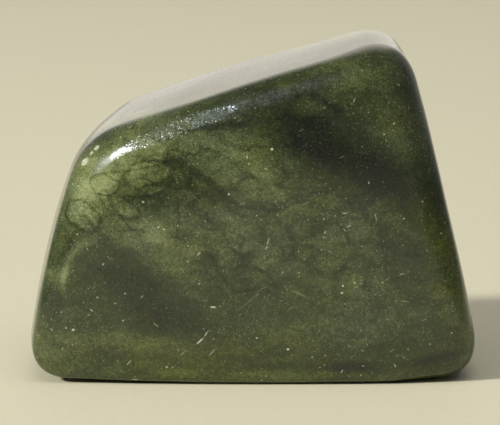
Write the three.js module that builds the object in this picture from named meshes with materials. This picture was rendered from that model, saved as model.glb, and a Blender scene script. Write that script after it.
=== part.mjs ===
// A tumbled and polished piece of Canadian nephrite, resting on a small flat spot.
// Millimetres, +Z up, -Y towards the viewer, the flat spot on Z = 0 and the stone centred
// on the Z axis.
//
// The stone is one convex-looking block of ground flats that run into each other over worn
// edges. Each flat is given by a point it passes through, the way it faces and how strongly
// it is crowned; each edge by the width over which its two flats are blended.

import * as THREE from "three";
import { mergeVertices } from "three/addons/utils/BufferGeometryUtils.js";

// Overall slopes, in degrees
const LEFT_LEAN = 13.5;      // the left side leans inwards as it rises
const RIGHT_LEAN = 12.9;     // and so does the right side
const TOP_SLOPE = 17.2;      // the top climbs from the left shoulder to the right peak
const TOP_TURN = 3.4;        // and its slope is turned slightly, so it also tips to the front
const BROW_TILT = 30;        // the narrow bevel under the top edge of the face looks up

const rad = THREE.MathUtils.degToRad;

// A level direction turned from +X towards +Y, then lifted above the level
function facing(turn, lift) {
  const t = rad(turn), u = rad(lift);
  return new THREE.Vector3(Math.cos(t) * Math.cos(u), Math.sin(t) * Math.cos(u), Math.sin(u));
}

// The ground flats: a point on each, the way it faces, and the radius of its slight crown
const FLATS = {
  left: { at: [-14.37, -1.4, 8.0], out: facing(178.5, LEFT_LEAN), crown: 52 },
  top: { at: [0.6, -1.4, 20.71], out: facing(180 + TOP_TURN, 90 - TOP_SLOPE), crown: 238 },
  right: { at: [13.42, -9.4, 12.0], out: facing(0, RIGHT_LEAN), crown: 312 },
  face: { at: [0.6, -9.95, 8.0], out: facing(-90, 2.3), crown: 190 },
  brow: { at: [-2.4, -9.4, 17.05], out: browFacing(), crown: 90 },
  back: { at: [0.6, 9.12, 9.0], out: facing(81.5, 1.1), crown: 130 },
  corner: { at: [12.2, 6.92, 4.0], out: facing(42, -14), crown: 110 },
  heel: { at: [-9.9, 8.92, 4.0], out: facing(118, -32), crown: 50 },
};

// The brow bevel follows the sloping top edge: level with the face, tilted towards the top
function browFacing() {
  const up = new THREE.Vector3(-Math.sin(rad(TOP_SLOPE)), 0, Math.cos(rad(TOP_SLOPE)));
  return new THREE.Vector3(0, -Math.cos(rad(BROW_TILT)), 0)
    .addScaledVector(up, Math.sin(rad(BROW_TILT)));
}

// Widths of the worn edges between neighbouring flats
const SHOULDER = 2.1;        // left side into top
const PEAK = 3.3;            // top into right side
const FOOT_LEFT = 2.8;       // sides into the underside, at the left
const FOOT_RIGHT = 3.4;      // and at the right
const FOOT_SPAN = 13;        // the one turns into the other between -13 and 13 across
const BROW = 1.1;            // face into its brow bevel
const RIM = 1.3;             // the tight edge all round the face
const BACK = 3.2;            // the full rounding round the back
const CORNER = 2.5;          // back into the corner facet behind the right foot
const HEEL = 3.0;            // back into the undercut behind the left foot

// Where the rim of the face is softer or tighter: the width added there, and for each
// coordinate where the change begins and the distance over which it comes in
const RIM_CHANGES = {
  shoulder: { added: 0.6, x: [-3, -6], z: [8, 4] },
  peak: { added: 1.8, x: [4, 6], z: [13, 7] },
  right: { added: 1.0, x: [9, 4] },
  foot: { added: -0.5, z: [4, -4] },
};

// A shallow chip on the back, worn smooth: the ball that would fill it
const CHIP = { centre: [-4.3, 25.77, 12.5], radius: 16, edge: 0.9 };

// The underside is flat only on a small oval spot; around it the stone lifts off the table
// with the square of the distance past the spot's edge, counted in the spot's own half sizes
const SPOT = { centre: [1.6, -1.7], half: [5.4, 4.2], lift: 0.06 };

// Slow waves left by tumbling: height, wavelength-setting direction and start of each
const WAVES = [
  { height: 0.035, along: [0.34, 0.12, 0.22], start: 0.9 },
  { height: 0.028, along: [-0.27, 0.31, 0.41], start: 2.1 },
  { height: 0.018, along: [0.52, -0.38, 0.17], start: 4.0 },
];
const WAVE_FADE = 3.5;       // the waves die out over this height above the underside

// The eight corners where the extended flats would meet, left to right, front to back, foot
// to top. The mesh is spread over this block first, so its lines follow the worn edges.
const BLOCK = {
  foot: { front: [[-16.0, -10.1], [16.2, -10.1]], back: [[-15.6, 11.0], [14.8, 8.4]] },
  top: { front: [[-12.3, -9.7], [10.8, -9.7]], back: [[-12.1, 10.4], [10.4, 8.8]] },
  height: { foot: 0, left: 16.9, right: 24.1 },
};
const MIDDLE = new THREE.Vector3(0.4, -0.3, 10.5);
const STEPS = { across: 30, deep: 18, tall: 24 };
const CROWDING = 0.86;       // how much the mesh lines crowd towards the edges
const REACH = 40;            // farther from the middle than any point of the stone
const HALVINGS = 44;
const LEVEL = 1e-4;          // points this close to Z = 0 lie on it

const ease = (t) => THREE.MathUtils.smoothstep(t, 0, 1);

// Distance in front of a flat; a crown makes the flat fall away from its middle
function beyond(flat, p) {
  const from = new THREE.Vector3().fromArray(flat.at).negate().add(p);
  const ahead = from.dot(flat.out);
  return ahead + (from.lengthSq() - ahead * ahead) / (2 * flat.crown);
}

// The larger of two distances, rounded off where they are within a width of each other
function worn(a, b, width) {
  const lap = Math.max(width - Math.abs(a - b), 0) / width;
  return Math.max(a, b) + lap * lap * width / 4;
}

// Distance below the underside, which is level on the spot that the stone rests on
function underneath(p) {
  const [x, y] = SPOT.centre, [wide, deep] = SPOT.half;
  const past = Math.max(Math.hypot((p.x - x) / wide, (p.y - y) / deep) - 1, 0);
  return SPOT.lift * past * past - p.z;
}

// Width of the worn rim at a point: the usual one plus each change times its smooth steps
function rimWidth(p) {
  return Object.values(RIM_CHANGES).reduce((width, { added, ...steps }) => {
    const share = Object.entries(steps).reduce((product, [axis, [start, over]]) =>
      product * ease((p[axis] - start) / over), 1);
    return width + added * share;
  }, RIM);
}

// Distance outside the stone's surface, negative inside
function outside(p) {
  const flat = (name) => beyond(FLATS[name], p);

  let outline = worn(flat("left"), flat("top"), SHOULDER);
  outline = worn(outline, flat("right"), PEAK);
  const rightwards = ease((p.x + FOOT_SPAN) / (2 * FOOT_SPAN));
  const foot = THREE.MathUtils.lerp(FOOT_LEFT, FOOT_RIGHT, rightwards);
  outline = worn(outline, underneath(p), foot);

  const front = worn(flat("face"), flat("brow"), BROW);
  let stone = worn(outline, front, rimWidth(p));

  let rear = worn(flat("back"), flat("corner"), CORNER);
  rear = worn(rear, flat("heel"), HEEL);
  const chip = CHIP.radius - p.distanceTo(new THREE.Vector3().fromArray(CHIP.centre));
  rear = worn(rear, chip, CHIP.edge);
  stone = worn(stone, rear, BACK);

  const wave = WAVES.reduce((sum, w) =>
    sum + w.height * Math.sin(p.dot(new THREE.Vector3().fromArray(w.along)) + w.start), 0);
  return stone + wave * ease(p.z / WAVE_FADE);
}

// Point of the corner block for a point of the cube from -1 to 1
function onBlock(cube) {
  const [u, v, w] = cube.toArray().map((t) =>
    (Math.sin(t * CROWDING * Math.PI / 2) / Math.sin(CROWDING * Math.PI / 2) + 1) / 2);
  const lerp = THREE.MathUtils.lerp;
  const plan = (level) => [0, 1].map((i) => lerp(
    lerp(level.front[0][i], level.front[1][i], u),
    lerp(level.back[0][i], level.back[1][i], u), v));
  const low = plan(BLOCK.foot), high = plan(BLOCK.top);
  const z = lerp(BLOCK.height.foot, lerp(BLOCK.height.left, BLOCK.height.right, u), w);
  return new THREE.Vector3(lerp(low[0], high[0], w), lerp(low[1], high[1], w), z);
}

// Walk out from the middle through a block point to the stone's surface, halving the
// stretch between inside and outside each time
function toSurface(through) {
  const way = through.clone().sub(MIDDLE).normalize();
  let near = 0, far = REACH;
  for (let i = 0; i < HALVINGS; i++) {
    const half = (near + far) / 2;
    if (outside(MIDDLE.clone().addScaledVector(way, half)) < 0) near = half;
    else far = half;
  }
  const point = MIDDLE.clone().addScaledVector(way, (near + far) / 2);
  if (Math.abs(point.z) < LEVEL) point.z = 0;
  return point;
}

function stoneGeometry() {
  let geometry = new THREE.BoxGeometry(2, 2, 2, STEPS.across, STEPS.deep, STEPS.tall);
  geometry.deleteAttribute("uv");
  geometry.deleteAttribute("normal");
  geometry = mergeVertices(geometry, 1e-6);
  const position = geometry.attributes.position;
  const point = new THREE.Vector3();
  for (let i = 0; i < position.count; i++) {
    point.fromBufferAttribute(position, i);
    const surface = toSurface(onBlock(point));
    position.setXYZ(i, surface.x, surface.y, surface.z);
  }
  geometry.computeVertexNormals();
  return geometry;
}

const polished = new THREE.MeshStandardMaterial({
  name: "polished nephrite", color: new THREE.Color(0x4e5a37), roughness: 0.1, metalness: 0,
});

const stone = new THREE.Mesh(stoneGeometry(), polished);
stone.name = "nephrite_stone";

const group = new THREE.Group();
group.name = "canadian_nephrite";
group.add(stone);

export default group;
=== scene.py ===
# %% [markdown]
# # A polished nephrite stone
#
# Nephrite is the tougher of the two jades: a felt of very fine fibres, green from iron, with
# darker clouds, pale lobes and a net of thin dark veins. This piece was broken, tumbled and
# polished, so it is a block of gentle flats that run into each other over worn edges.
# We build the fine surface, give it the stone's own pattern all the way through, and light
# it as a small thing on a pale table.

# %% Load the measured model
import math
import bpy
import numpy as np
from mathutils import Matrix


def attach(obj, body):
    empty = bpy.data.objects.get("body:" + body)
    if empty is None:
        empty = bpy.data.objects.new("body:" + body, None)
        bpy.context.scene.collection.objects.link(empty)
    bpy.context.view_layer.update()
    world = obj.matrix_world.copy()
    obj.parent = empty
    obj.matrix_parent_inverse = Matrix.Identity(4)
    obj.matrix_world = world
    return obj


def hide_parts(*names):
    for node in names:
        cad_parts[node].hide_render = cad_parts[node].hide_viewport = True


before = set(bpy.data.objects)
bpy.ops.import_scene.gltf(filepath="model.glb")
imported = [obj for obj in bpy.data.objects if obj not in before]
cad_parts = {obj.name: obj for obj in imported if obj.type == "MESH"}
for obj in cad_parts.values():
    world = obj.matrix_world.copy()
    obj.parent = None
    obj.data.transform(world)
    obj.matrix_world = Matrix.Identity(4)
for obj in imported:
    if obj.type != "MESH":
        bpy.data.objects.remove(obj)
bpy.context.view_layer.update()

MM = 0.001

# %% [markdown]
# ## The camera
#
# The picture was taken close up with a long lens, a little above the table: a thin strip of
# the top face shows. The camera follows from its distance, its slope and the view's width.

# %% Place the camera
PHOTO_ASPECT = 500 / 425
SENSOR_MM = 36.0
CAMERA_AWAY = 220.0  # from the broad face to the lens, mm
CAMERA_UP = math.radians(9.0)
VIEW_WIDTH = 33.85  # how much of the face's plane the picture spans, mm
AIM = np.array([-0.12, -9.36, 11.81])

camera_data = bpy.data.cameras.new("camera")
camera_data.sensor_width = SENSOR_MM
camera_data.lens = SENSOR_MM * CAMERA_AWAY / VIEW_WIDTH
camera_data.clip_start = 0.01
camera_data.clip_end = 20.0
camera = bpy.data.objects.new("camera", camera_data)
bpy.context.collection.objects.link(camera)
back_up = np.array([0.0, -math.cos(CAMERA_UP), math.sin(CAMERA_UP)])
camera.location = (AIM + back_up * CAMERA_AWAY) * MM
camera.rotation_euler = (math.pi / 2 - CAMERA_UP, 0, 0)
bpy.context.scene.camera = camera
view_height = VIEW_WIDTH / PHOTO_ASPECT
print("lens", round(camera_data.lens, 1), "mm, view", VIEW_WIDTH, "by", round(view_height, 1), "mm")

# %% [markdown]
# ## The form of the stone
#
# The stone is easiest to describe by what the grinding left: a few nearly flat faces, each
# slightly crowned, and the worn edges between them. Each face is a distance function,
# negative inside. The stone is the largest of them, and where two are nearly equal the edge
# between them is rounded off. All numbers are in millimetres.

# %% Faces and worn edges
def facing(turn, lift):
    """A level direction turned from +X towards +Y by turn degrees, then lifted by lift."""
    t, u = math.radians(turn), math.radians(lift)
    return np.array([math.cos(t) * math.cos(u), math.sin(t) * math.cos(u), math.sin(u)])


TOP_SLOPE, TOP_TURN = 17.2, 3.4
BROW_TILT = math.radians(30)
brow_out = np.array([0, -math.cos(BROW_TILT), 0]) + math.sin(BROW_TILT) * facing(180, 90 - TOP_SLOPE)

# a point on the face, the way it faces, and the radius of its crown
FACES = {
    "left": ((-14.37, -1.4, 8.0), facing(178.5, 13.5), 52),
    "top": ((0.6, -1.4, 20.71), facing(180 + TOP_TURN, 90 - TOP_SLOPE), 238),
    "right": ((13.42, -9.4, 12.0), facing(0, 12.9), 312),
    "broad": ((0.6, -9.95, 8.0), facing(-90, 2.3), 190),
    "brow": ((-2.4, -9.4, 17.05), brow_out, 90),
    "back": ((0.6, 9.12, 9.0), facing(81.5, 1.1), 130),
    "corner": ((12.2, 6.92, 4.0), facing(42, -14), 110),
    "heel": ((-9.9, 8.92, 4.0), facing(118, -32), 50),
}


def beyond(points, name):
    """Distance in front of a face: along its normal, plus the square of the distance to
    the side over twice the crown's radius, so that the face falls away from its middle."""
    at, out, crown = FACES[name]
    away = points - np.array(at)
    ahead = away @ out
    return ahead + ((away * away).sum(axis=-1) - ahead * ahead) / (2 * crown)


def ease(t):
    """Smooth step: 3 t squared minus 2 t cubed, held between 0 and 1."""
    t = np.clip(t, 0, 1)
    return t * t * (3 - 2 * t)


def worn(a, b, width):
    """The larger of two distances, raised by a parabola where they differ by less than
    width, which rounds the edge between the two faces."""
    lap = np.clip(width - np.abs(a - b), 0, None) / width
    return np.maximum(a, b) + lap * lap * width / 4


print(len(FACES), "faces besides the flat underside")

# %% [markdown]
# Tumbling leaves two more things: slow waves in the polish, which make a reflection swim,
# and small blemishes. This stone has a few pits near its left shoulder, filled with pale
# polishing powder, and on the back a shallow chip that the tumbling has smoothed over.

# %% Widths of the worn edges, waves and pits
SHOULDER, PEAK = 2.1, 3.3
FOOT_LEFT, FOOT_RIGHT = 2.8, 3.4
FOOT_SPAN = 13  # the left foot turns into the right one between -13 and 13 across
BROW, RIM = 1.1, 1.3
BACK, CORNER, HEEL = 3.2, 2.5, 3.0
# where the rim of the broad face is softer or tighter: the width added, and for each
# coordinate where the change begins and the distance over which it comes in
RIM_CHANGES = {
    "shoulder": (0.6, {0: (-3, -6), 2: (8, 4)}),
    "peak": (1.8, {0: (4, 6), 2: (13, 7)}),
    "right edge": (1.0, {0: (9, 4)}),
    "foot": (-0.5, {2: (4, -4)}),
}
CHIP_CENTRE, CHIP_RADIUS, CHIP_EDGE = np.array([-4.3, 25.77, 12.5]), 16.0, 0.9
SPOT_CENTRE, SPOT_HALF, SPOT_LIFT = np.array([1.6, -1.7]), np.array([5.4, 4.2]), 0.06
# height of each wave, its direction with the length that sets its spacing, and its start
WAVES = [
    (0.035, (0.34, 0.12, 0.22), 0.9),
    (0.028, (-0.27, 0.31, 0.41), 2.1),
    (0.018, (0.52, -0.38, 0.17), 4.0),
]
WAVE_FADE = 3.5  # waves and pits come in over this height above the table
# centre, radius and depth of each pit
PITS = [
    ((-11.37, -7.63, 15.05), 0.27, 0.07),
    ((-10.58, -7.38, 15.96), 0.18, 0.06),
    ((-10.91, -7.49, 15.63), 0.13, 0.05),
    ((-14.74, -3.00, 6.35), 0.16, 0.05),
    ((5.78, 7.93, 15.11), 0.19, 0.06),
    ((-9.40, 9.95, 11.30), 0.13, 0.05),
    ((12.79, 1.40, 13.77), 0.14, 0.05),
    ((-2.45, 1.60, 19.85), 0.12, 0.04),
]
print("pits:", len(PITS), "waves:", len(WAVES))

# %% The whole surface as one distance
def underneath(points):
    """Distance below the underside: level on a small oval spot, and around it lifted by the
    square of how far past the spot's edge a point is, in the spot's own half sizes."""
    past = np.linalg.norm((points[..., :2] - SPOT_CENTRE) / SPOT_HALF, axis=-1) - 1
    return SPOT_LIFT * np.clip(past, 0, None) ** 2 - points[..., 2]


def rim_width(points):
    """Width of the worn rim: the usual one plus each change times its smooth steps."""
    width = RIM
    for added, steps in RIM_CHANGES.values():
        for axis, (start, over) in steps.items():
            added = added * ease((points[..., axis] - start) / over)
        width = width + added
    return width


def outside(points):
    """Distance outside the stone: the worn union of the outline faces, the broad front with
    its brow, and the rear faces with the chip, plus the waves and the pits."""
    x, z = points[..., 0], points[..., 2]
    outline = worn(beyond(points, "left"), beyond(points, "top"), SHOULDER)
    outline = worn(outline, beyond(points, "right"), PEAK)
    foot = FOOT_LEFT + (FOOT_RIGHT - FOOT_LEFT) * ease((x + FOOT_SPAN) / (2 * FOOT_SPAN))
    outline = worn(outline, underneath(points), foot)

    front = worn(beyond(points, "broad"), beyond(points, "brow"), BROW)
    stone = worn(outline, front, rim_width(points))

    rear = worn(beyond(points, "back"), beyond(points, "corner"), CORNER)
    rear = worn(rear, beyond(points, "heel"), HEEL)
    chip = CHIP_RADIUS - np.linalg.norm(points - CHIP_CENTRE, axis=-1)
    stone = worn(stone, worn(rear, chip, CHIP_EDGE), BACK)

    wave = sum(height * np.sin(points @ np.array(along) + start) for height, along, start in WAVES)
    pits = sum(depth * np.exp(-((points - np.array(at)) ** 2).sum(axis=-1) / radius ** 2)
               for at, radius, depth in PITS)
    return stone + (wave + pits) * ease(z / WAVE_FADE)


MIDDLE = np.array([0.4, -0.3, 10.5])
print("the stone's middle lies", round(-float(outside(MIDDLE)), 1), "mm below its surface")

# %% [markdown]
# ## The mesh
#
# The grid lies on a block with the stone's own eight corners, so its lines run along the
# worn edges and crowd there, where the surface bends most. Every grid point is then slid
# along the ray from the stone's middle until the distance is nought.

# %% A grid on the corner block
STEPS = np.array([156, 96, 126])  # across, deep, tall
CROWDING = 0.86  # of the grid lines towards the edges
FOOT_CORNERS = np.array([[(-16.0, -10.1), (16.2, -10.1)], [(-15.6, 11.0), (14.8, 8.4)]])
TOP_CORNERS = np.array([[(-12.3, -9.7), (10.8, -9.7)], [(-12.1, 10.4), (10.4, 8.8)]])
TOP_HEIGHTS = np.array([16.9, 24.1])


def block_lattice():
    """Whole-number points (i, j, k) on the six sides of the block, each once, and the quads
    between them, wound so that they face outwards."""
    quads = []
    for axis in range(3):
        u_axis, v_axis = (axis + 1) % 3, (axis + 2) % 3
        for side in (0, STEPS[axis]):
            u, v = np.meshgrid(np.arange(STEPS[u_axis]), np.arange(STEPS[v_axis]), indexing="ij")
            ring = [(0, 0), (1, 0), (1, 1), (0, 1)]
            if side == 0:
                ring = ring[::-1]
            corners = np.zeros(u.shape + (4, 3), dtype=np.int64)
            corners[..., axis] = side
            for c, (du, dv) in enumerate(ring):
                corners[..., c, u_axis] = u + du
                corners[..., c, v_axis] = v + dv
            quads.append(corners.reshape(-1, 4, 3))
    quads = np.concatenate(quads)
    number = np.ravel_multi_index(tuple(np.moveaxis(quads, -1, 0)), STEPS + 1)
    used, loops = np.unique(number, return_inverse=True)
    return np.stack(np.unravel_index(used, STEPS + 1), axis=-1), loops.reshape(-1, 4)


def on_block(lattice):
    """Block point of each lattice point: each count becomes a sine-crowded 0 to 1 share, and
    the eight corners are blended by the three shares."""
    t = 2 * lattice / STEPS - 1
    share = (np.sin(t * CROWDING * np.pi / 2) / np.sin(CROWDING * np.pi / 2) + 1) / 2
    u, v, w = share[:, :1], share[:, 1:2], share[:, 2:]

    def plan(level):
        front = level[0, 0] * (1 - u) + level[0, 1] * u
        back = level[1, 0] * (1 - u) + level[1, 1] * u
        return front * (1 - v) + back * v

    flat = plan(FOOT_CORNERS) * (1 - w) + plan(TOP_CORNERS) * w
    height = w * (TOP_HEIGHTS[0] * (1 - u) + TOP_HEIGHTS[1] * u)
    return np.concatenate([flat, height], axis=1)


lattice, quads = block_lattice()
print("grid points", len(lattice), "quads", len(quads))

# %% Slide the grid onto the surface
REACH = 40.0  # farther from the middle than any point of the stone
HALVINGS = 40
LEVEL = 1e-4  # points this close to the table lie on it


def to_surface(through):
    """Halve the stretch of each ray between inside and outside until it is a point."""
    way = through - MIDDLE
    way /= np.linalg.norm(way, axis=1, keepdims=True)
    near, far = np.zeros(len(way)), np.full(len(way), REACH)
    for _ in range(HALVINGS):
        half = (near + far) / 2
        inside = outside(MIDDLE + way * half[:, None]) < 0
        near, far = np.where(inside, half, near), np.where(inside, far, half)
    points = MIDDLE + way * ((near + far) / 2)[:, None]
    points[np.abs(points[:, 2]) < LEVEL, 2] = 0
    return points


def mesh_object(name, points, quads):
    """A smooth-shaded mesh object at the origin from points in millimetres and quads."""
    mesh = bpy.data.meshes.new(name)
    mesh.vertices.add(len(points))
    mesh.vertices.foreach_set("co", (points * MM).astype(np.float32).ravel())
    mesh.loops.add(quads.size)
    mesh.loops.foreach_set("vertex_index", quads.astype(np.int32).ravel())
    mesh.polygons.add(len(quads))
    mesh.polygons.foreach_set("loop_start", np.arange(0, quads.size, 4, dtype=np.int32))
    mesh.update(calc_edges=True)
    mesh.polygons.foreach_set("use_smooth", np.ones(len(quads), dtype=bool))
    mesh.validate()
    piece = bpy.data.objects.new(name, mesh)
    bpy.context.collection.objects.link(piece)
    return piece


surface = to_surface(on_block(lattice))
stone = mesh_object("polished_stone", surface, quads)
print("stone box, mm:", surface.min(axis=0).round(2), surface.max(axis=0).round(2))

# %% Measure it
a, b, c, d = (surface[quads[:, i]] for i in range(4))
# each quad and the middle make a pyramid; a third of base times height is its volume
volume = np.einsum("ij,ij->i", (a + b + c + d) / 4, np.cross(c - a, d - b)).sum() / 6
sides = np.concatenate([quads[:, [i, (i + 1) % 4]] for i in range(4)])
uses = np.unique(np.sort(sides, axis=1), axis=0, return_counts=True)[1]
print("volume", round(volume / 1000, 2), "cubic cm, edges not shared by two quads:", (uses != 2).sum())

# %% [markdown]
# ## Wiring shader nodes
#
# The stone's pattern needs many nodes. A few helpers keep that readable: one adds a node and
# fills its inputs, with values or with links, and others give the sums, steps, blends,
# noises and node groups that come back all the time.

# %% Node helpers
def add(tree, kind, inputs=(), **settings):
    """One node of a tree. inputs pairs a socket's name or number with a value or an output."""
    node = tree.nodes.new(kind)
    for name, value in settings.items():
        setattr(node, name, value)
    for socket, value in dict(inputs).items():
        if isinstance(value, bpy.types.NodeSocket):
            tree.links.new(value, node.inputs[socket])
        else:
            node.inputs[socket].default_value = value
    return node


def maths(tree, operation, *values):
    """The output of one Math node."""
    return add(tree, "ShaderNodeMath", enumerate(values), operation=operation).outputs[0]


def plus(tree, mask, strength, base):
    """A mask times its strength, added to a base."""
    return maths(tree, "MULTIPLY_ADD", mask, strength, base)


def vectors(tree, operation, *values):
    """The output of one Vector Math node; a length or a dot product is a plain value."""
    node = add(tree, "ShaderNodeVectorMath", enumerate(values), operation=operation)
    return node.outputs["Value" if operation in ("LENGTH", "DOT_PRODUCT") else "Vector"]


def step_between(tree, value, low, high):
    """Nought below low, one above high and a smooth step between; falling if low > high."""
    return add(tree, "ShaderNodeMapRange",
               {"Value": value, "From Min": low, "From Max": high},
               interpolation_type="SMOOTHSTEP").outputs["Result"]


def blend_colours(tree, share, under, over):
    """Mix of two colours by a share."""
    return add(tree, "ShaderNodeMix", {0: share, 6: under, 7: over}, data_type="RGBA").outputs[2]


def strongest(tree, masks):
    """The largest of the masks, each node made just before it is compared."""
    most = 0.0
    for mask in masks:
        most = maths(tree, "MAXIMUM", most, mask)
    return most


def noise(tree, vector, scale, detail=3.0, roughness=0.5, shift=(0, 0, 0), wanted="Fac"):
    """Noise with scale features to the millimetre. shift moves the place that is read, so
    that two noises differ; wanted is Fac for one value or Color for three."""
    moved = vectors(tree, "ADD", vector, shift) if any(shift) else vector
    return add(tree, "ShaderNodeTexNoise", {
        "Vector": moved, "Scale": scale, "Detail": detail, "Roughness": roughness}).outputs[wanted]


def voronoi(tree, vector, scale, feature="F1"):
    """Outputs of a Voronoi node with scale cells to the millimetre."""
    return add(tree, "ShaderNodeTexVoronoi", {"Vector": vector, "Scale": scale},
               feature=feature).outputs


def open_group(name, inputs, outputs):
    """A new node group: (tree, what comes in, what goes out). inputs give each socket's name
    and kind, and a usual value if it has one; outputs are names of plain values."""
    tree = bpy.data.node_groups.new(name, "ShaderNodeTree")
    for label, kind, *usual in inputs:
        socket = tree.interface.new_socket(label, in_out="INPUT", socket_type="NodeSocket" + kind)
        if usual:
            socket.default_value = usual[0]
    for label in outputs:
        tree.interface.new_socket(label, in_out="OUTPUT", socket_type="NodeSocketFloat")
    return tree, tree.nodes.new("NodeGroupInput").outputs, tree.nodes.new("NodeGroupOutput").inputs


def use_group(tree, group, inputs):
    """The outputs of a group that is used as one node of a tree."""
    return add(tree, "ShaderNodeGroup", inputs, node_tree=group).outputs


def srgb(red, green, blue):
    """A colour read off a screen, 0 to 255, as the linear values that shaders want."""
    linear = [c / 12.92 if c <= 0.04045 else ((c + 0.055) / 1.055) ** 2.4
              for c in (red / 255, green / 255, blue / 255)]
    return (*linear, 1.0)


print("a mid grey in linear light:", round(srgb(128, 128, 128)[0], 3))

# %% [markdown]
# ## Clouds, veins and specks
#
# Jade's pattern goes right through the stone, so it is worked out in space: wherever the
# surface cuts a dark cloud, the cloud shows. One group makes a single cloud, an egg-shaped
# stretch of space with a soft rim. A narrow band at that rim outlines some pale lobes.

# %% One cloud
def make_cloud_group():
    """Mask of an ellipsoid: the point's offset from the centre, measured along each axis in
    its own half size, has its length compared with one. Each axis comes in as its direction
    over its half size, so a dot product measures along it."""
    tree, given, made = open_group("cloud", [
        ("Place", "Vector"), ("Centre", "Vector"), ("Across", "Vector"), ("Deep", "Vector"),
        ("Up", "Vector"), ("Softness", "Float", 0.4), ("Outline", "Float", 0.1)], ["Mask", "Rim"])
    offset = vectors(tree, "SUBTRACT", given["Place"], given["Centre"])
    along = [vectors(tree, "DOT_PRODUCT", offset, given[axis]) for axis in ("Across", "Deep", "Up")]
    length = vectors(tree, "LENGTH", add(tree, "ShaderNodeCombineXYZ", enumerate(along)).outputs[0])
    outer = maths(tree, "ADD", 1.0, given["Softness"])
    inner = maths(tree, "SUBTRACT", 1.0, given["Softness"])
    tree.links.new(step_between(tree, length, outer, inner), made["Mask"])
    off_rim = maths(tree, "ABSOLUTE", maths(tree, "SUBTRACT", length, 1.0))
    tree.links.new(step_between(tree, off_rim, given["Outline"], 0.0), made["Rim"])
    return tree


def cloud_at(tree, place, centre, half_sizes, turn=0.0, **extras):
    """One cloud of a tree. half_sizes are across, deep and up; turn is clockwise as seen
    from the front, in degrees; extras are the group's other inputs."""
    wide, deep, high = half_sizes
    t = math.radians(turn)
    return use_group(tree, cloud_group, {
        "Place": place, "Centre": centre,
        "Across": (math.cos(t) / wide, 0, -math.sin(t) / wide),
        "Deep": (0, 1 / deep, 0),
        "Up": (math.sin(t) / high, 0, math.cos(t) / high), **extras})


cloud_group = make_cloud_group()
print("group", cloud_group.name, "has", len(cloud_group.nodes), "nodes")

# %% [markdown]
# The veins are films of darker mineral between rounded cells. Voronoi cells have just such
# walls: a thin band at the wall is the vein, and the distance from it lifts the middle of
# each cell a little. Noise breaks the veins up so that no cell is fully outlined. Bright
# grains, scratches and the tiny facets of a scuffed edge come from Voronoi cells too.

# %% Veins, specks, facets and scratches
def make_vein_group():
    """Vein: near a cell wall and where the breaking noise allows. Cell: 0 at the wall, 1
    well inside. Both from the distance to the nearest wall of stretched cells."""
    tree, given, made = open_group("vein net", [
        ("Place", "Vector"), ("Cells per mm", "Float"), ("Width", "Float")], ["Vein", "Cell"])
    to_wall = voronoi(tree, given["Place"], given["Cells per mm"], "DISTANCE_TO_EDGE")["Distance"]
    open_here = step_between(tree, noise(tree, given["Place"], 0.9, 2.0), 0.40, 0.62)
    wall = step_between(tree, to_wall, given["Width"], 0.0)
    tree.links.new(maths(tree, "MULTIPLY", wall, open_here), made["Vein"])
    tree.links.new(step_between(tree, to_wall, 0.0, 0.32), made["Cell"])
    return tree


def make_speck_group():
    """Small bright grains, one round the seed of each Voronoi cell, flat out to half its
    size. Each has its own size and brightness, raised to a power so that few are strong."""
    tree, given, made = open_group("specks", [
        ("Place", "Vector"), ("Cells per mm", "Float"), ("Size", "Float"), ("Rarity", "Float"),
    ], ["Mask"])
    cells = voronoi(tree, given["Place"], given["Cells per mm"])
    chance = add(tree, "ShaderNodeSeparateColor", {"Color": cells["Color"]}).outputs
    share = plus(tree, chance["Blue"], 0.9, 0.35)
    size = maths(tree, "MULTIPLY", share, given["Size"])
    dot = step_between(tree, cells["Distance"], size, maths(tree, "MULTIPLY", size, 0.5))
    bright = maths(tree, "POWER", chance["Red"], given["Rarity"])
    tree.links.new(maths(tree, "MULTIPLY", dot, bright), made["Mask"])
    return tree


def make_facet_group():
    """Tiny facets, as on a scuffed edge: each Voronoi cell is a plane tilted its own way.
    Height is the offset from the cell's seed times the cell's own slope."""
    tree, given, made = open_group("facets", [
        ("Place", "Vector"), ("Cells per mm", "Float"), ("Slope", "Float")], ["Height"])
    cells = voronoi(tree, given["Place"], given["Cells per mm"])
    offset = vectors(tree, "SUBTRACT", given["Place"], cells["Position"])
    lean = vectors(tree, "SUBTRACT", cells["Color"], (0.5,) * 3)
    rise = vectors(tree, "DOT_PRODUCT", offset, lean)
    tree.links.new(maths(tree, "MULTIPLY", rise, given["Slope"]), made["Height"])
    return tree


SCRATCH_THIN = 9.0  # a scratch is this many times longer than it is wide


def make_scratch_group():
    """Fine scratches one way: specks in a space that is turned and squeezed across two of its
    directions, so that each speck is drawn out along the third."""
    tree, given, made = open_group("scratches", [("Place", "Vector"), ("Turn", "Vector")], ["Mask"])
    turned = add(tree, "ShaderNodeVectorRotate", {
        "Vector": given["Place"], "Rotation": given["Turn"]}, rotation_type="EULER_XYZ").outputs[0]
    cells = voronoi(tree, vectors(tree, "MULTIPLY", turned, (1, SCRATCH_THIN, SCRATCH_THIN)), 0.3)
    chance = add(tree, "ShaderNodeSeparateColor", {"Color": cells["Color"]}).outputs["Green"]
    line = step_between(tree, cells["Distance"], 0.11, 0.02)
    tree.links.new(maths(tree, "MULTIPLY", line, maths(tree, "POWER", chance, 4.0)), made["Mask"])
    return tree


vein_group, speck_group = make_vein_group(), make_speck_group()
facet_group, scratch_group = make_facet_group(), make_scratch_group()
print("groups:", [g.name for g in bpy.data.node_groups])
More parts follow.
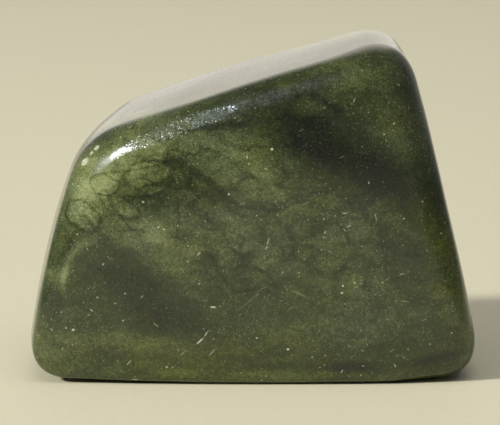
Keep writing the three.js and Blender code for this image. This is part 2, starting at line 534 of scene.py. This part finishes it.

# %% [markdown]
# ## The pattern of this stone
#
# Seen from the front, a dark band crosses the upper right, a pale lens lies under the brow,
# cells with dark outlines crowd the left shoulder, and a smoky cloud with a bright rim fills
# the lower left. Each is one cloud below, which darkens or lightens the stone. A few clouds
# are painted light instead: the lit foot, the left flank, part of the bright shoulder, a
# reflection at the top and a warm reflection on the right edge. Nothing shows the other
# sides, so there the clouds are left to noise.

# %% Where the clouds are
FACE_Y = -10.0  # the broad face, and so the middle of every cloud on it
# across, up, half width, half height, degrees clockwise, half depth, softness, lightness
CLOUDS = {
    "dark band, upper": (3.1, 17.5, 2.9, 1.4, 38, 4, 0.8, -0.15),
    "dark band, middle": (6.0, 15.9, 4.0, 1.8, 33, 5, 0.8, -0.19),
    "dark band, lower": (10.4, 13.9, 3.9, 1.4, 18, 5, 0.8, -0.19),
    "dark under the top": (3.1, 20.5, 3.1, 0.82, -14, 3, 0.6, -0.11),
    # painted reflection: the pale grey patch at the top edge, part of the sheen along the brow
    "painted reflection at the top": (2.1, 20.4, 1.1, 0.45, -15, 2, 0.6, 0.22),
    "light spot in the band": (3.8, 18.8, 1.1, 0.54, 0, 2, 0.7, 0.13),
    "green peak": (7.0, 21.3, 3.4, 1.3, -12, 4, 0.8, 0.11),
    "mottle below the peak": (10.4, 17.4, 1.7, 2.6, -12, 3, 0.7, 0.09),
    "pale lens": (-2.0, 15.6, 4.0, 1.85, 27, 4, 0.5, 0.13),
    "heart of the lens": (-2.7, 16.2, 2.3, 0.82, 22, 3, 0.6, 0.07),
    "shade beside the lens": (-5.3, 16.3, 0.4, 1.0, 20, 2, 0.8, -0.07),
    "shade under the lip": (-2.9, 13.3, 1.6, 0.5, 34, 2, 0.8, -0.03),
    # partly the stone's paler tone, partly painted light falling from the left
    "pale shoulder with painted light": (-8.8, 15.4, 3.6, 1.7, -22, 4, 0.75, 0.28),
    "edge lobe, upper": (-11.3, 13.2, 1.2, 0.85, 15, 2, 0.6, 0.17),
    "edge lobe, lower": (-11.5, 11.7, 1.3, 0.85, 24, 2, 0.75, 0.13),
    # painted light: the left flank made lighter as if lit from the left
    "painted light on the left flank": (-12.0, 12.0, 2.2, 3.6, 14, 4, 0.8, 0.11),
    "crease below lobes": (-10.8, 11.0, 1.1, 0.2, 40, 1.2, 0.8, -0.16),
    "dark left edge": (-12.9, 9.5, 0.9, 1.43, 15, 3, 0.6, -0.03),
    "long pale lobe": (-6.9, 9.6, 3.8, 1.35, 44, 3, 0.6, 0.17),
    "second pale lobe": (-3.8, 11.0, 3.1, 0.61, 34, 3, 0.6, 0.06),
    "bright grain": (-3.8, 9.2, 0.7, 0.61, 10, 1.5, 0.8, 0.18),
    "round cell": (-6.0, 10.8, 1.2, 0.82, -10, 2, 0.6, 0.08),
    "small cell": (-0.8, 9.8, 1.0, 0.54, 25, 2, 0.7, 0.05),
    "cell on the right": (1.4, 8.5, 1.1, 0.61, 20, 2, 0.7, 0.03),
    "smoky cloud": (-7.0, 6.1, 4.6, 1.75, 36, 5, 0.7, -0.15),
    "heart of the cloud": (-7.0, 5.3, 2.6, 1.0, 34, 4, 0.8, -0.07),
    "end of the cloud": (-4.6, 4.3, 2.6, 0.9, 20, 4, 0.8, -0.06),
    "cloud inside the rim": (-10.6, 6.6, 1.6, 1.5, 0, 3, 0.8, -0.03),
    "pale left foot": (-13.5, 7.3, 0.8, 0.68, 0, 2, 0.7, 0.15),
    "dark left foot": (-13.8, 5.8, 0.7, 0.89, 0, 2, 0.7, -0.08),
    "pale foot corner": (-13.2, 2.3, 1.6, 1.36, 0, 3, 0.7, 0.12),
    "pale foot band": (-6.9, 2.8, 5.4, 0.75, 2, 4, 0.7, 0.11),
    "dark foot fleck": (-12.9, 2.7, 0.8, 0.27, 10, 1, 0.8, -0.14),
    "pale low middle": (2.3, 3.3, 3.1, 0.89, 0, 3, 0.7, 0.06),
    "pale low right": (8.2, 4.0, 2.9, 0.95, -8, 3, 0.7, 0.05),
    "lit foot": (-3.0, 0.3, 13.5, 1.0, 0, 5, 0.8, 0.1),
    "dark foot streak": (6.7, 1.3, 1.3, 0.38, 4, 1.5, 0.8, -0.26),
    "second foot streak": (12.2, 1.8, 1.8, 0.3, -6, 1.5, 0.8, -0.22),
    "dark foot line": (4.3, 1.2, 6.1, 0.3, 0, 2, 0.9, -0.12),
    "dark right fold": (10.4, 9.3, 1.4, 4.09, -24, 4, 0.7, -0.08),
    "pale right streak": (9.7, 11.3, 2.0, 0.48, 40, 2, 0.7, 0.09),
    # painted reflection: the right edge made lighter and warmer, as a warm surround shows on it
    "painted warm reflection, right edge": (13.3, 7.5, 1.0, 5.5, -14, 4, 0.8, 0.11),
    "lighter middle": (3.3, 9.3, 7.5, 3.0, 14, 5, 0.7, 0.04),
}
print(len(CLOUDS), "clouds")

# %% [markdown]
# Some dark veins are long enough to follow with the eye. Each is a chain of thin clouds, one
# from each of its points to the next. Four cells by the left shoulder are outlined whole.

# %% Long veins, outlined cells and marked stretches
# half width, lightness, and the points that the vein passes through, across and up
LONG_VEINS = {
    "above the lens": (0.2, -0.2, ((-4.6, 17.2), (-3.6, 17.45), (-2.0, 17.75), (-0.5, 17.85))),
    "arc over the light spot": (0.24, -0.17, (
        (2.8, 19.5), (3.6, 19.8), (4.5, 19.6), (5.4, 19.0), (6.2, 18.5))),
    "over the lobes": (0.09, -0.13, ((-9.6, 14.5), (-7.9, 14.7), (-6.5, 15.0), (-5.4, 15.3))),
    "below the lobes": (0.1, -0.12, (
        (-11.0, 13.2), (-9.9, 12.9), (-9.0, 12.9), (-7.7, 12.9), (-6.7, 13.0), (-5.7, 13.4),
        (-5.3, 14.2))),
    "lip of the lens": (0.23, -0.17, (
        (-5.4, 15.5), (-4.3, 14.9), (-3.2, 14.1), (-2.1, 13.4), (-1.5, 12.7))),
    "below the lens": (0.15, -0.16, ((-1.5, 12.6), (-0.5, 12.3), (0.4, 12.2), (1.4, 12.0))),
    "its fading end": (0.11, -0.09, ((1.4, 12.0), (2.2, 12.2), (3.0, 12.5))),
    "inside the lens": (0.09, -0.09, ((-1.5, 13.4), (-0.5, 13.3), (0.7, 13.5))),
    "left of the long lobe": (0.1, -0.12, ((-9.7, 12.9), (-9.3, 12.1), (-8.4, 11.0), (-7.6, 10.3))),
    "its lower end": (0.09, -0.09, ((-7.6, 10.3), (-7.2, 9.2), (-6.4, 8.2))),
    "upright vein": (0.09, -0.1, ((-5.1, 12.9), (-4.9, 11.6), (-5.1, 10.3), (-5.2, 9.5))),
    "ring": (0.11, -0.12, ((-1.8, 10.3), (-1.5, 9.5), (-0.7, 8.9), (0.2, 9.2))),
    "top of the ring": (0.08, -0.08, ((-1.6, 10.5), (-0.8, 10.3), (-0.1, 9.8))),
    "long vein": (0.11, -0.12, ((-3.2, 9.5), (-2.6, 8.5), (-2.0, 7.4), (-1.1, 6.5), (0.2, 6.6))),
    "low right vein": (0.1, -0.12, ((0.2, 8.2), (1.1, 7.6), (1.8, 6.7))),
}
# all of these: across, up, half width, half height, turn
OUTLINED_CELLS = [(-10.0, 13.7, 1.02, 0.72, 6), (-7.1, 14.4, 1.77, 0.89, -12),
                  (-11.5, 11.5, 1.45, 0.9, 24), (-9.0, 12.4, 1.63, 0.61, 30)]
VEINED = (0.5, 11.6, 10.5, 5.5, 20)  # where the net of dark veins is strong
CLOUD_RIM = (-9.5, 6.6, 3.4, 3.5, 0)  # its edge is the smoky cloud's bright rim,
RIM_SHOWS = (-12.2, 8.5, 1.8, 2.7, -28)  # which shows only here, at the upper left
# the second warm edge is a painted warm reflection on the right edge
WARM_FOOT_AND_REFLECTED_EDGE = [(-1.0, 0.6, 15.0, 2.2, 0), (13.6, 7.0, 1.5, 7.0, -14)]  # the foot, the right edge
print(len(LONG_VEINS), "long veins and", len(OUTLINED_CELLS), "outlined cells")

# %% [markdown]
# Other stones in the drum have scuffed the brow, so its reflection breaks up. Lint, grains
# and short scratches on the broad face tell the eye how small the stone is.

# %% Scuffs and single marks
BROW_Y = -8.5
# across, up, half width, half height, turn, how faceted and how dulled
SCUFFS = {
    "tail of the highlight": (-5.2, 17.45, 3.0, 0.56, -20, 0.8, 0.15),
    "fading end of the tail": (-2.5, 18.43, 1.2, 0.36, -19, 0.7, 0.18),
    "well polished part": (4.6, 20.3, 4.6, 1.5, -17, 0.0, -0.12),
    "over the highlight": (-8.8, 15.65, 1.9, 0.6, -27, 0.09, 0.03),
    "left of the highlight": (-10.7, 14.9, 0.9, 0.6, -40, 0.12, 0.15),
}
# a painted sheen: the brow's colour is made paler and bluish where the finest scuffs scatter the light
BROW_PAINTED_SHEEN = (0.6, 19.35, 5.0, 0.4, -17)  # the finest scuffs scatter the light here
# across, up, half length, half width, turn, and how bright
MARKS = {
    "lint": [
        (6.93, 19.42, 0.25, 0.064, -62, 1), (6.76, 19.15, 0.11, 0.049, 0, 0.8),
        (-10.9, 5.15, 0.13, 0.039, 50, 0.7)],
    "streaks": [
        (-2.63, 5.42, 0.18, 0.054, 6, 0.95), (-3.52, 3.07, 0.27, 0.059, -42, 0.95),
        (-3.11, 3.56, 0.2, 0.039, -58, 0.7), (-6.5, 4.18, 0.21, 0.029, 38, 0.5),
        (-8.35, 1.55, 0.22, 0.034, -45, 0.5), (6.14, 0.99, 0.11, 0.044, -62, 0.7),
        (9.74, 1.34, 0.12, 0.039, 60, 0.6), (7.57, 1.34, 0.1, 0.039, 10, 0.5)],
    "hairs": [
        (1.1, 9.89, 0.25, 0.039, -75, 0.6), (1, 9.48, 0.13, 0.034, -40, 0.5),
        (8.39, 11.54, 0.27, 0.034, 80, 0.55), (6.29, 11.81, 0.2, 0.034, -8, 0.7)],
    "scratches": [
        (-4.67, 2.24, 0.29, 0.029, -42, 0.45), (-2.7, 2.31, 0.32, 0.029, -50, 0.55),
        (10.17, 7.63, 0.22, 0.029, -20, 0.5), (10.39, 5.77, 0.29, 0.029, 12, 0.35),
        (9.23, 7.35, 0.18, 0.025, -50, 0.35), (-0.32, 5.7, 0.83, 0.025, -42, 0.2),
        (0.69, 6.66, 0.39, 0.025, -28, 0.18), (3.2, 6.32, 0.59, 0.034, 25, 0.24),
        (2.32, 6.73, 0.25, 0.029, 60, 0.22)],
    # bright grains, and the last three are painted glints of light, the last where the stone meets the
    # table
    "glitter and painted glints": [
        (4.95, 10.51, 0.11, 0.044, -60, 0.7), (4.88, 10.17, 0.09, 0.039, 20, 0.6),
        (6.57, 10.92, 0.15, 0.039, -30, 0.7), (6.3, 10.65, 0.1, 0.034, 40, 0.5),
        (-6.33, 10.85, 0.08, 0.064, 0, 0.7), (-5.93, 10.71, 0.07, 0.059, 0, 0.7),
        (-0.32, 15.63, 0.12, 0.044, 80, 0.7), (-0.19, 15.15, 0.08, 0.064, 0, 0.6),
        (0.96, 14.81, 0.13, 0.039, 25, 0.6), (-3.57, 9.07, 0.14, 0.059, -50, 0.6),
        (2.46, 2.52, 0.09, 0.064, -20, 1), (-7.95, 0.35, 0.2, 0.039, 4, 1)],
    "dots": [
        (1.36, 16.17, 0.09, 0.078, 0, 1), (-12.14, 3.77, 0.1, 0.083, 30, 0.95),
        (-13.63, 3.77, 0.13, 0.039, 40, 0.6), (-12.61, 3.9, 0.06, 0.054, 0, 0.7),
        (6.11, 6.39, 0.07, 0.064, 0, 0.9), (6.18, 6.87, 0.06, 0.078, 0, 0.9),
        (6.99, 7.08, 0.06, 0.054, 0, 0.7), (-1.54, 13.11, 0.07, 0.088, 0, 0.7),
        (-7.34, 12.56, 0.08, 0.069, 0, 0.8), (7.9, 13.86, 0.05, 0.088, 0, 0.6),
        (11.55, 12.56, 0.07, 0.064, 0, 0.55), (13.6, 3.56, 0.06, 0.059, 0, 0.8),
        (-5.77, 1.27, 0.07, 0.064, 0, 0.8), (0.36, 3.28, 0.07, 0.054, 0, 0.8),
        (4.09, 1.97, 0.04, 0.064, 0, 0.6), (-8.74, 4.46, 0.06, 0.054, 0, 0.7),
        (-9.27, 5.63, 0.06, 0.054, 0, 0.6), (-8.59, 6.32, 0.06, 0.054, 0, 0.6),
        (-7.44, 6.11, 0.12, 0.034, -60, 0.45), (-10.07, 8.31, 0.1, 0.044, -50, 0.6),
        (-10.49, 6.04, 0.06, 0.059, 0, 0.6)],
}
print(len(SCUFFS), "scuffed stretches and", sum(map(len, MARKS.values())), "marks")

# %% [markdown]
# ## The stone's finish
#
# Everything above is added up as one number, the stone's lightness. The clouds are read
# through a gentle noise, which bends every outline, so no ellipse can be seen as one. The
# long veins are read through a finer bend only, so they stay where they were drawn.

# %% Lightness of the broad face
REST_LIGHTNESS = 0.49
OUTLINE_DARK, CELL_LIGHT = -0.13, 0.06
RIM_LIGHT = 0.22
STROKE_OVERLAP = 0.62  # half length of a vein's stroke, as a share of the points' distance


def object_place(tree):
    """The point's place on the object, in millimetres."""
    position = tree.nodes.new("ShaderNodeTexCoord").outputs["Object"]
    return vectors(tree, "MULTIPLY", position, (1 / MM,) * 3)


def bent(tree, vector, scale, by, shift=(0, 0, 0)):
    """The place, moved along each axis by up to half of by, as a noise says."""
    swirl = noise(tree, vector, scale, 2.0, shift=shift, wanted="Color")
    swirl = vectors(tree, "SUBTRACT", swirl, (0.5,) * 3)
    return vectors(tree, "ADD", vector, vectors(tree, "MULTIPLY", swirl, (by,) * 3))


def on_face(tree, place, spot, deep, y=FACE_Y, **extras):
    """A cloud of the broad face; spot is across, up, half width, half height and turn."""
    across, up, wide, high, turn = spot
    return cloud_at(tree, place, (across, y, up), (wide, deep, high), turn, **extras)


def vein_strokes(tree, wavy, thin, path):
    """Masks of the thin clouds from each point of a long vein to the next."""
    for (x0, z0), (x1, z1) in zip(path, path[1:]):
        long = STROKE_OVERLAP * math.hypot(x1 - x0, z1 - z0)
        turn = math.degrees(math.atan2(z0 - z1, x1 - x0))
        spot = ((x0 + x1) / 2, (z0 + z1) / 2, long, thin, turn)
        yield on_face(tree, wavy, spot, 3.0, Softness=0.85)["Mask"]


def face_pattern(tree, place, swayed, wavy):
    """Each cloud, cell and vein adds its own strength times its mask; the rim adds its
    strength times its mask and the mask of the stretch where it shows."""
    lightness = REST_LIGHTNESS
    for *spot, deep, soft, change in CLOUDS.values():
        cloud = on_face(tree, swayed, spot, deep, Softness=soft)
        lightness = plus(tree, cloud["Mask"], change, lightness)
    for spot in OUTLINED_CELLS:
        cell = on_face(tree, swayed, spot, 3.0, Outline=0.20)
        lightness = plus(tree, cell["Rim"], OUTLINE_DARK, lightness)
        lightness = plus(tree, cell["Mask"], CELL_LIGHT, lightness)
    for thin, change, path in LONG_VEINS.values():
        vein = strongest(tree, vein_strokes(tree, wavy, thin, path))
        lightness = plus(tree, vein, change, lightness)
    rim = on_face(tree, swayed, CLOUD_RIM, 6.0, Outline=0.14)["Rim"]
    shows = on_face(tree, place, RIM_SHOWS, 3.0, Softness=0.6)["Mask"]
    return plus(tree, maths(tree, "MULTIPLY", rim, shows), RIM_LIGHT, lightness)


print("lightness without any cloud:", REST_LIGHTNESS)

# %% [markdown]
# Between the clouds the stone shows its flow, cells and fibres drawn out across and bent by
# slow noise. The net of veins is strong in the middle of the broad face, thin elsewhere on
# it, and comes in patches on the other sides, as large clouds of noise do.

# %% The vein net and the noises
FLOW_BENDS = ((0.22, 3.0, (2, 9, 4)), (1.3, 0.5, (0, 0, 0)))  # noise scale, by how much, shift
FLOW_SCALE, FLOW_TURN = (0.60, 0.85, 1.20), math.radians(-32)
# cells to the millimetre, width, and the strength that veined stretches add to the usual one
VEIN_NETS = [(0.62, 0.10, -0.08, -0.02), (1.35, 0.09, -0.06, -0.01)]
CELL_LIFT = (0.06, 0.01)
LARGE_CLOUDS = (0.36, 0.08)  # their strength: added on the far sides, and everywhere
# features to the millimetre, detail, roughness, shift and strength
WISPS = (1.0, 4.0, 0.6, (1, 5, 8), 0.34)
FELT = (4.0, 3.0, 0.65, (0, 0, 0), 0.38)
THREADS = (12.0, 2.0, 0.6, (4, 4, 1), 0.55)


def along_flow(tree, place):
    """The place bent twice and scaled least across, so what is read there is drawn out
    across. The turn hides the noise's own axes."""
    for scale, by, shift in FLOW_BENDS:
        place = bent(tree, place, scale, by, shift)
    return add(tree, "ShaderNodeMapping", {
        "Vector": place, "Scale": FLOW_SCALE, "Rotation": (0, FLOW_TURN, 0)}).outputs[0]


def with_vein_net(tree, lightness, place, swayed, flow, behind):
    """Both nets darken the stone on their walls, and the wide one's cells lift it in their
    middles. A veined stretch is a cloud of the broad face or, behind, a patch of noise."""
    veined = on_face(tree, swayed, VEINED, 6.0, Softness=0.5)["Mask"]
    patches = step_between(tree, noise(tree, place, 0.22, 2.0, 0.5, (6, 1, 9)), 0.40, 0.62)
    veined = maths(tree, "MAXIMUM", veined, maths(tree, "MULTIPLY", patches, behind))
    nets = [use_group(tree, vein_group, {"Place": flow, "Cells per mm": cells, "Width": width})
            for cells, width, _, _ in VEIN_NETS]
    for net, (_, _, added, usual) in zip(nets, VEIN_NETS):
        strength = plus(tree, veined, added, usual)
        lightness = plus(tree, net["Vein"], strength, lightness)
    lift = plus(tree, veined, *CELL_LIFT)
    return plus(tree, nets[0]["Cell"], lift, lightness)


def with_noises(tree, lightness, place, flow, behind):
    """Each noise, less its middle value of a half, is added with its own strength: large
    clouds, wisps along the flow, the felt of fibres and its threads."""
    large = step_between(tree, noise(tree, flow, 0.17, 3.0, 0.50, (11, 2, 30)), 0.30, 0.70)
    strength = plus(tree, behind, *LARGE_CLOUDS)
    large = maths(tree, "MULTIPLY", maths(tree, "SUBTRACT", large, 0.5), strength)
    lightness = maths(tree, "ADD", lightness, large)
    for vector, (*kind, strength) in ((flow, WISPS), (place, FELT), (place, THREADS)):
        swing = maths(tree, "SUBTRACT", noise(tree, vector, *kind), 0.5)
        lightness = plus(tree, swing, strength, lightness)
    return lightness


print(len(VEIN_NETS), "vein nets")

# %% [markdown]
# A colour ramp turns the lightness into the greens that nephrite has: nearly black, bottle
# green, olive and a yellowish grey green. Noise makes some stretches cooler, and the foot
# and the right edge are warmer; on the right edge this is a painted warm reflection.

# %% From lightness to green
TONES = [(0.05, (17, 21, 11)), (0.25, (27, 34, 16)), (0.5, (51, 60, 28)),
         (0.7, (88, 97, 55)), (0.95, (146, 154, 107))]
COOLER = {"Hue": 0.515, "Saturation": 0.86}
WARMER = {"Hue": 0.485, "Saturation": 1.25}


def greens(tree, lightness, swayed):
    """The ramp's colour, blended with its cooler version by noise and with its warmer one
    by the masks of the warm foot and of the painted warm reflection on the right edge."""
    tones = add(tree, "ShaderNodeValToRGB", {"Fac": lightness})
    ramp = tones.color_ramp
    ramp.elements[0].position, ramp.elements[0].color = TONES[0][0], srgb(*TONES[0][1])
    ramp.elements[1].position, ramp.elements[1].color = TONES[-1][0], srgb(*TONES[-1][1])
    for at, tone in TONES[1:-1]:
        ramp.elements.new(at).color = srgb(*tone)
    colour = tones.outputs["Color"]
    cool = step_between(tree, noise(tree, swayed, 0.3, 2.0, 0.5, (20, 8, 1)), 0.4, 0.65)
    warm = strongest(tree, (on_face(tree, swayed, spot, 6.0, Softness=0.6)["Mask"]
                            for spot in WARM_FOOT_AND_REFLECTED_EDGE))
    for mask, change in ((cool, COOLER), (warm, WARMER)):
        hue = add(tree, "ShaderNodeHueSaturation", {**change, "Color": colour}).outputs[0]
        colour = blend_colours(tree, mask, colour, hue)
    return colour


print("tones from", TONES[0][1], "to", TONES[-1][1])

# %% [markdown]
# Pale things lie over the green: grains and dust in the polish, scratches, the marks listed
# above, a painted sheen on the brow and the powder that fills the pits.

# %% Marks, painted sheen and powder
SCRATCH_TURNS = ((0.2, 0.5, 0.1), (1.1, -0.7, 0.6), (0.4, 1.4, -0.5))
DUST_BRIGHT, SCRATCH_BRIGHT = 0.50, 0.4
# the second colour is the pale bluish grey of the painted sheen on the brow
MARK_COLOUR, PAINTED_SHEEN_COLOUR = srgb(204, 208, 184), srgb(165, 172, 186)
POWDER_DARK, POWDER_PALE = srgb(100, 106, 80), srgb(220, 222, 204)
PIT_FILL = 1.15  # the powder reaches a little past a pit's radius


def listed_marks(tree, ragged):
    """The mask of each listed mark times its brightness."""
    for rows in MARKS.values():
        for *spot, bright in rows:
            mark = on_face(tree, ragged, spot, 1.2, Softness=0.45)["Mask"]
            yield maths(tree, "MULTIPLY", mark, bright)


def pale_marks(tree, place, ragged, lightness):
    """The strongest of grains, dust, scratches and listed marks. Grains and dust come in
    crowds, and few show where the stone is dark."""
    crowd = step_between(tree, noise(tree, place, 0.30, 2.0, 0.5, (3, 30, 3)), 0.36, 0.64)
    crowd = plus(tree, crowd, 0.5, 0.5)
    pale = plus(tree, step_between(tree, lightness, 0.30, 0.55), 0.75, 0.25)
    crowd = maths(tree, "MULTIPLY", crowd, pale)
    specks = use_group(tree, speck_group, {
        "Place": ragged, "Cells per mm": 2.8, "Size": 0.18, "Rarity": 2.2})["Mask"]
    dust = step_between(tree, noise(tree, place, 7.5, 2.0, 0.6, (40, 3, 9)), 0.61, 0.76)
    marks = maths(tree, "MAXIMUM", specks, maths(tree, "MULTIPLY", dust, DUST_BRIGHT))
    marks = maths(tree, "MULTIPLY", marks, crowd)
    for turn in SCRATCH_TURNS:
        lines = use_group(tree, scratch_group, {"Place": place, "Turn": turn})["Mask"]
        marks = maths(tree, "MAXIMUM", marks, maths(tree, "MULTIPLY", lines, SCRATCH_BRIGHT))
    return maths(tree, "MAXIMUM", marks, strongest(tree, listed_marks(tree, ragged)))


def painted_brow_sheen(tree, place, swayed):
    """The painted sheen on the brow: its cloud, times a weak even share and a streaky one from noise.
    """
    cloud = on_face(tree, swayed, BROW_PAINTED_SHEEN, 2.0, BROW_Y, Softness=0.8)["Mask"]
    streaks = step_between(tree, noise(tree, place, 4.0, 4.0, 0.75, (2, 2, 6)), 0.40, 0.64)
    return maths(tree, "MULTIPLY", cloud, plus(tree, streaks, 0.13, 0.02))


def filled_pits(tree, ragged):
    """Where there is powder: a ball round each pit."""
    return strongest(tree, (cloud_at(tree, ragged, at, (radius * PIT_FILL,) * 3,
                                     Softness=0.2)["Mask"] for at, radius, _ in PITS))


print(len(SCRATCH_TURNS), "directions of scratches")

# %% [markdown]
# The polish is mirror-like, with a haze of finest scratches, and duller in the marks and in
# the powder. Two bumps shape its reflections: a very fine grain all over, and on the brow
# tiny facets, which break the highlight up into sparks.

# %% Polish and scuffs
POLISHED, SMEARED = 0.07, 0.08  # roughness of clear polish, and more by noise
HAZE_DULL, MARKS_DULL, POWDER_DULL = 0.16, 0.25, 0.5
SMOOTHEST = 0.04


def polish(tree, place, swayed, ragged, marks, filled):
    """Roughness is a low value plus the strength of each thing that dulls it; the normal
    comes from the grain's bump and then from the facets' where the brow is scuffed."""
    smear = noise(tree, place, 0.8, 3.0, 0.6, (5, 5, 5))
    grain = noise(tree, place, 7.0, 3.0, 0.65, (9, 1, 2))
    haze = step_between(tree, grain, 0.50, 0.72)
    roughness = plus(tree, smear, SMEARED, POLISHED)
    for mask, dull in ((haze, HAZE_DULL), (marks, MARKS_DULL), (filled, POWDER_DULL)):
        roughness = plus(tree, mask, dull, roughness)
    scuffed = 0.0
    for *spot, faceted, dull in SCUFFS.values():
        stretch = on_face(tree, swayed, spot, 2.0, BROW_Y, Softness=0.5)["Mask"]
        scuffed = maths(tree, "MAXIMUM", scuffed, maths(tree, "MULTIPLY", stretch, faceted))
        roughness = plus(tree, stretch, dull, roughness)
    roughness = maths(tree, "MAXIMUM", roughness, SMOOTHEST)
    fine = add(tree, "ShaderNodeBump", {"Height": grain, "Strength": 0.12, "Distance": 0.01 * MM})
    facets = use_group(tree, facet_group, {
        "Place": ragged, "Cells per mm": 15.0, "Slope": 0.8})["Height"]
    bump = add(tree, "ShaderNodeBump", {
        "Height": maths(tree, "MULTIPLY", facets, scuffed), "Strength": 1.0, "Distance": MM,
        "Normal": fine.outputs[0]})
    return roughness, bump.outputs[0]


# %% The stone's material
def stone_material():
    """Principled surface: the greens under the pale things, the polish, and a little light
    that goes in and comes out again, because thin edges of nephrite are translucent."""
    material = bpy.data.materials.new("polished nephrite")
    material.use_nodes = True
    tree = material.node_tree
    tree.nodes.clear()
    out = tree.nodes.new("ShaderNodeOutputMaterial")

    place = object_place(tree)
    swayed = bent(tree, bent(tree, place, 0.35, 0.8), 1.6, 0.45, (7, 3, 5))
    wavy = bent(tree, place, 1.6, 0.30, (7, 3, 5))
    ragged = bent(tree, place, 6.0, 0.10)
    flow = along_flow(tree, place)
    depth = add(tree, "ShaderNodeSeparateXYZ", {"Vector": place}).outputs["Y"]
    behind = step_between(tree, depth, FACE_Y + 1.0, FACE_Y + 6.0)

    lightness = face_pattern(tree, place, swayed, wavy)
    lightness = with_vein_net(tree, lightness, place, swayed, flow, behind)
    lightness = with_noises(tree, lightness, place, flow, behind)
    colour = greens(tree, lightness, swayed)
    marks = pale_marks(tree, place, ragged, lightness)
    colour = blend_colours(tree, maths(tree, "MULTIPLY", marks, 0.9), colour, MARK_COLOUR)
    # painted sheen: a pale bluish grey blended into the brow's colour
    colour = blend_colours(tree, painted_brow_sheen(tree, place, swayed), colour, PAINTED_SHEEN_COLOUR)
    filled = filled_pits(tree, ragged)
    chalk = step_between(tree, noise(tree, place, 14.0, 2.0), 0.36, 0.64)
    powder = blend_colours(tree, chalk, POWDER_DARK, POWDER_PALE)
    colour = blend_colours(tree, maths(tree, "MULTIPLY", filled, 0.95), colour, powder)
    roughness, normal = polish(tree, place, swayed, ragged, marks, filled)

    shader = add(tree, "ShaderNodeBsdfPrincipled", {
        "Base Color": colour, "Roughness": roughness, "IOR": 1.61,
        "Subsurface Weight": 0.25, "Subsurface Radius": (0.7, 0.9, 0.4), "Subsurface Scale": MM,
        "Normal": normal})
    tree.links.new(shader.outputs[0], out.inputs["Surface"])
    return material


nephrite = stone_material()
stone.data.materials.append(nephrite)
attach(stone, "root")
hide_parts("nephrite_stone")
print("material nodes:", len(nephrite.node_tree.nodes))

# %% [markdown]
# ## Table, light and air
#
# A small lamp low on the left shapes the stone and throws its shadow, and a wide panel
# overhead fills the shade. Neither shows in the polish. A third lamp, small and high on the
# left in front, shows only there, as the narrow highlight along the brow. The air is bright
# behind the stone and dim in front, so the top face, seen at a grazing angle, shines while
# the broad face keeps its depth of colour.

# %% The pale table
TABLE_MM = 2400.0
SHEET_DARK, SHEET_PALE = srgb(212, 208, 182), srgb(223, 219, 194)


def table_material():
    """A pale matt sheet with a faint tooth."""
    material = bpy.data.materials.new("pale sheet")
    material.use_nodes = True
    tree = material.node_tree
    shader = tree.nodes["Principled BSDF"]
    tooth = noise(tree, object_place(tree), 1.6)
    tree.links.new(blend_colours(tree, tooth, SHEET_DARK, SHEET_PALE), shader.inputs["Base Color"])
    shader.inputs["Roughness"].default_value = 0.85
    bump = add(tree, "ShaderNodeBump", {"Height": tooth, "Strength": 0.15, "Distance": 0.05 * MM})
    tree.links.new(bump.outputs[0], shader.inputs["Normal"])
    return material


corners = TABLE_MM / 2 * np.array([(-1, -1, 0), (1, -1, 0), (1, 1, 0), (-1, 1, 0)])
table = mesh_object("table", corners, np.array([[0, 1, 2, 3]]))
table.data.materials.append(table_material())
print("table", TABLE_MM, "mm square")

# %% Three lamps
STONE_MIDDLE = np.array([0.0, 0.0, 12.0])


def area_light(name, towards, away, sizes, watts, colour):
    """A rectangular light away millimetres from the stone, shining at it."""
    data = bpy.data.lights.new(name, "AREA")
    data.shape = "RECTANGLE"
    data.size, data.size_y = sizes[0] * MM, sizes[1] * MM
    data.energy = watts
    data.color = colour
    light = bpy.data.objects.new(name, data)
    bpy.context.collection.objects.link(light)
    way = np.array(towards) / np.linalg.norm(towards)
    light.location = (STONE_MIDDLE + way * away) * MM
    # an area light shines along its own -Z, so its +Z is turned to point away from the stone
    light.rotation_euler = (math.acos(way[2]), 0, math.atan2(way[1], way[0]) + math.pi / 2)
    return light


side = area_light("side", towards=(-0.78, -0.40, 0.48), away=1200.0, sizes=(140.0, 140.0),
                  watts=16.5, colour=(1.0, 0.96, 0.90))
fill = area_light("fill", towards=(0.1, -0.2, 0.97), away=1500.0, sizes=(1500.0, 1500.0),
                  watts=8.6, colour=(1.0, 0.98, 0.96))
glint = area_light("glint", towards=(-0.461, -0.459, 0.761), away=1200.0, sizes=(130.0, 70.0),
                   watts=8.0, colour=(0.88, 0.95, 1.0))
side.visible_glossy = False
fill.visible_glossy = False
glint.visible_diffuse = False
print("lights:", [light.name for light in (side, fill, glint)])

# %% The air
DIM_AIR, BRIGHT_AIR = (0.15, 0.15, 0.145, 1), (1.05, 0.99, 0.88, 1)
# how far to the back, and how little to the side, a way points where the glow begins and is full
TO_BACK, TO_SIDE = (0.62, 0.93), (0.32, 0.14)

world = bpy.data.worlds.new("air")
world.use_nodes = True
bpy.context.scene.world = world
air = world.node_tree
air.nodes.clear()
way = air.nodes.new("ShaderNodeTexCoord").outputs["Generated"]
parts = add(air, "ShaderNodeSeparateXYZ", {"Vector": way})
to_back = step_between(air, parts.outputs["Y"], *TO_BACK)
middle = step_between(air, maths(air, "ABSOLUTE", parts.outputs["X"]), *TO_SIDE)
glow = maths(air, "MULTIPLY", to_back, plus(air, middle, 0.85, 0.15))
sky = blend_colours(air, glow, DIM_AIR, BRIGHT_AIR)
backdrop = add(air, "ShaderNodeBackground", {"Color": sky})
air.links.new(backdrop.outputs[0], air.nodes.new("ShaderNodeOutputWorld").inputs["Surface"])
bpy.context.scene.view_settings.view_transform = "Standard"
print("air from", DIM_AIR[:3], "to", BRIGHT_AIR[:3])
